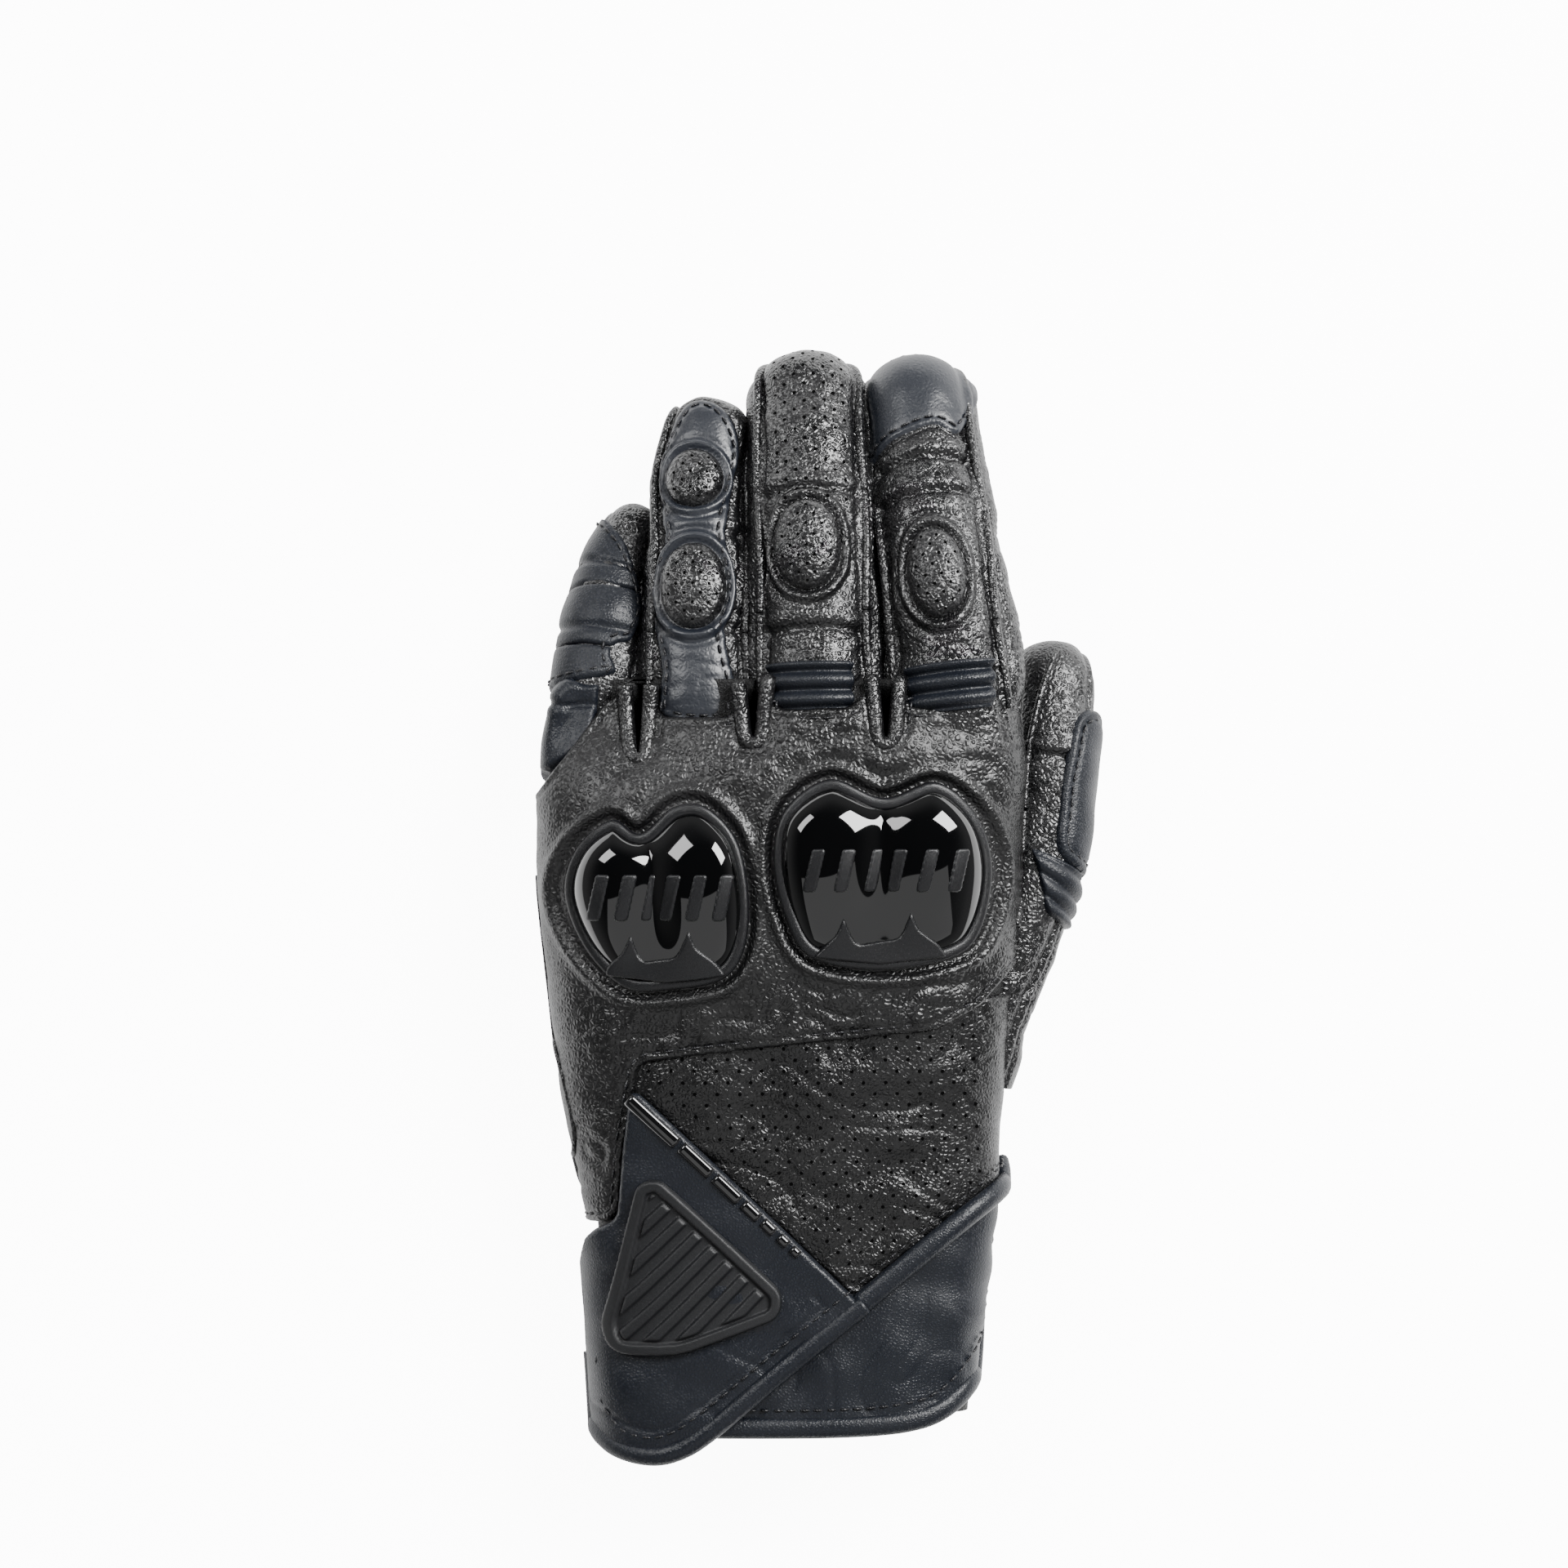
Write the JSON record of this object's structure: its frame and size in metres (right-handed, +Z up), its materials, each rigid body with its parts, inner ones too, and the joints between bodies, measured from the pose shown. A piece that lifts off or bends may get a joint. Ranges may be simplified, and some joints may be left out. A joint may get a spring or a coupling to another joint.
{
  "type": "riding glove",
  "caption": "Short leather riding glove for the left hand, with hard knuckle guards, padded finger joints, bending fingers and a closing wrist flap.",
  "frame": {"origin": "on the table under the middle of the glove's footprint, with the glove lying on its palm", "axes": "+Y towards the fingertips, +X towards the thumb, +Z up out of the back of the hand"},
  "size_m": [0.1234, 0.2458, 0.0515],
  "materials": {
    "grained_leather": "pebbled, semi-gloss",
    "smooth_leather": "fine grain, matte",
    "perforated_leather": "perforated, semi-gloss",
    "palm_leather": "soft, matte",
    "lined_leather": "matte",
    "guard_gloss": "polished",
    "guard_frame": "satin",
    "insert_gloss": "polished",
    "pad_rubber": "matte",
    "hook_loop": "hook and loop"
  },
  "bodies": {
    "hand": {"palm_panel": "palm_leather", "back_panel": "grained_leather", "cuff_sleeve": "lined_leather", "thumb_gusset": "grained_leather", "wrist_panel": "perforated_leather", "under_tab": "smooth_leather", "under_tab_binding": "smooth_leather", "wrist_binding": "smooth_leather", "loop_patch": "hook_loop", "outer_knuckle_frame": "guard_frame", "outer_knuckle_shell": "guard_gloss", "inner_knuckle_frame": "guard_frame", "inner_knuckle_shell": "guard_gloss", "palm_heel_patch": "palm_leather", "little_ring_welt": "grained_leather", "ring_middle_welt": "grained_leather", "middle_index_welt": "grained_leather", "finger_web": "grained_leather"},
    "cuff_flap": {"cuff_flap": "smooth_leather", "flap_binding": "smooth_leather", "wrist_pad": "pad_rubber", "hook_patch": "hook_loop", "gloss_inserts": "insert_gloss"},
    "little_base": {"little_base_back": "grained_leather", "little_base_palm": "palm_leather", "little_guard_base": "smooth_leather"},
    "little_mid": {"little_mid_back": "grained_leather", "little_mid_palm": "palm_leather", "little_guard_middle": "smooth_leather"},
    "little_tip": {"little_tip_back": "grained_leather", "little_tip_palm": "palm_leather"},
    "ring_base": {"ring_base_back": "grained_leather", "ring_base_palm": "palm_leather"},
    "ring_mid": {"ring_mid_back": "grained_leather", "ring_mid_palm": "palm_leather", "ring_middle_pad": "grained_leather"},
    "ring_tip": {"ring_tip_back": "grained_leather", "ring_tip_palm": "palm_leather", "ring_tip_pad": "grained_leather"},
    "middle_base": {"middle_base_back": "grained_leather", "middle_base_palm": "palm_leather", "middle_stretch_panel": "smooth_leather"},
    "middle_mid": {"middle_mid_back": "grained_leather", "middle_mid_palm": "palm_leather", "middle_pad": "grained_leather"},
    "middle_tip": {"middle_tip_back": "grained_leather", "middle_tip_palm": "palm_leather"},
    "index_base": {"index_base_back": "grained_leather", "index_base_palm": "palm_leather", "index_stretch_panel": "smooth_leather"},
    "index_mid": {"index_mid_back": "grained_leather", "index_mid_palm": "palm_leather", "index_pad": "grained_leather"},
    "index_tip": {"index_tip_back": "grained_leather", "index_tip_palm": "palm_leather"},
    "thumb_base": {"thumb_base_back": "grained_leather", "thumb_base_palm": "palm_leather", "thumb_guard": "smooth_leather"},
    "thumb_tip": {"thumb_tip_back": "grained_leather", "thumb_tip_palm": "palm_leather"}
  },
  "joints": [
    {"name": "little_base_bend", "type": "hinge", "parent": "hand", "child": "little_base", "pos_m": [-0.04971, 0.04884, 0.02327], "axis": [-0.9914, 0.1305, 0], "range_deg": [0, 54], "stiffness_Nm_per_rad": 0.12},
    {"name": "little_mid_bend", "type": "hinge", "parent": "little_base", "child": "little_mid", "pos_m": [-0.04786, 0.06289, 0.01974], "axis": [-0.9914, 0.1305, 0], "range_deg": [0, 60], "stiffness_Nm_per_rad": 0.08},
    {"name": "little_tip_bend", "type": "hinge", "parent": "little_mid", "child": "little_tip", "pos_m": [-0.04653, 0.07296, 0.01479], "axis": [-0.9914, 0.1305, 0], "range_deg": [0, 33], "stiffness_Nm_per_rad": 0.05},
    {"name": "ring_base_bend", "type": "hinge", "parent": "hand", "child": "ring_base", "pos_m": [-0.02741, 0.04884, 0.02761], "axis": [-1, 0.0087, 0], "range_deg": [0, 54], "stiffness_Nm_per_rad": 0.12},
    {"name": "ring_mid_bend", "type": "hinge", "parent": "ring_base", "child": "ring_mid", "pos_m": [-0.02722, 0.07113, 0.02448], "axis": [-1, 0.0087, 0], "range_deg": [0, 60], "stiffness_Nm_per_rad": 0.08},
    {"name": "ring_tip_bend", "type": "hinge", "parent": "ring_mid", "child": "ring_tip", "pos_m": [-0.02701, 0.09424, 0.01606], "axis": [-1, 0.0087, 0], "range_deg": [0, 33], "stiffness_Nm_per_rad": 0.05},
    {"name": "middle_base_bend", "type": "hinge", "parent": "hand", "child": "middle_base", "pos_m": [-0.00161, 0.04884, 0.03114], "axis": [-0.9997, -0.0244, 0], "range_deg": [0, 54], "stiffness_Nm_per_rad": 0.12},
    {"name": "middle_mid_bend", "type": "hinge", "parent": "middle_base", "child": "middle_mid", "pos_m": [-0.00237, 0.08003, 0.02676], "axis": [-0.9997, -0.0244, 0], "range_deg": [0, 60], "stiffness_Nm_per_rad": 0.08},
    {"name": "middle_tip_bend", "type": "hinge", "parent": "middle_mid", "child": "middle_tip", "pos_m": [-0.00285, 0.09957, 0.01964], "axis": [-0.9997, -0.0244, 0], "range_deg": [0, 33], "stiffness_Nm_per_rad": 0.05},
    {"name": "index_base_bend", "type": "hinge", "parent": "hand", "child": "index_base", "pos_m": [0.02839, 0.04884, 0.03136], "axis": [-0.9934, -0.1149, 0], "range_deg": [0, 54], "stiffness_Nm_per_rad": 0.12},
    {"name": "index_mid_bend", "type": "hinge", "parent": "index_base", "child": "index_mid", "pos_m": [0.02552, 0.07364, 0.02786], "axis": [-0.9934, -0.1149, 0], "range_deg": [0, 60], "stiffness_Nm_per_rad": 0.08},
    {"name": "index_tip_bend", "type": "hinge", "parent": "index_mid", "child": "index_tip", "pos_m": [0.02314, 0.09423, 0.02112], "axis": [-0.9934, -0.1149, 0], "range_deg": [0, 33], "stiffness_Nm_per_rad": 0.05},
    {"name": "thumb_base_bend", "type": "hinge", "parent": "hand", "child": "thumb_base", "pos_m": [0.05049, 0.00634, 0.02], "axis": [-0.9997, 0.0262, 0], "range_deg": [0, 35], "stiffness_Nm_per_rad": 0.12},
    {"name": "thumb_tip_bend", "type": "hinge", "parent": "thumb_base", "child": "thumb_tip", "pos_m": [0.05119, 0.03319, 0.01718], "axis": [-0.9997, 0.0262, 0], "range_deg": [0, 45], "stiffness_Nm_per_rad": 0.05},
    {"name": "flap_lift", "type": "hinge", "parent": "hand", "child": "cuff_flap", "pos_m": [-0.01736, -0.06146, 0.0424], "axis": [-0.7129, 0.6995, 0.0491], "range_deg": [0, 100]}
  ],
  "couplings": [
    {"joint": "little_tip_bend", "follows": "little_mid_bend", "ratio": 0.55},
    {"joint": "ring_tip_bend", "follows": "ring_mid_bend", "ratio": 0.55},
    {"joint": "middle_tip_bend", "follows": "middle_mid_bend", "ratio": 0.55},
    {"joint": "index_tip_bend", "follows": "index_mid_bend", "ratio": 0.55}
  ]
}
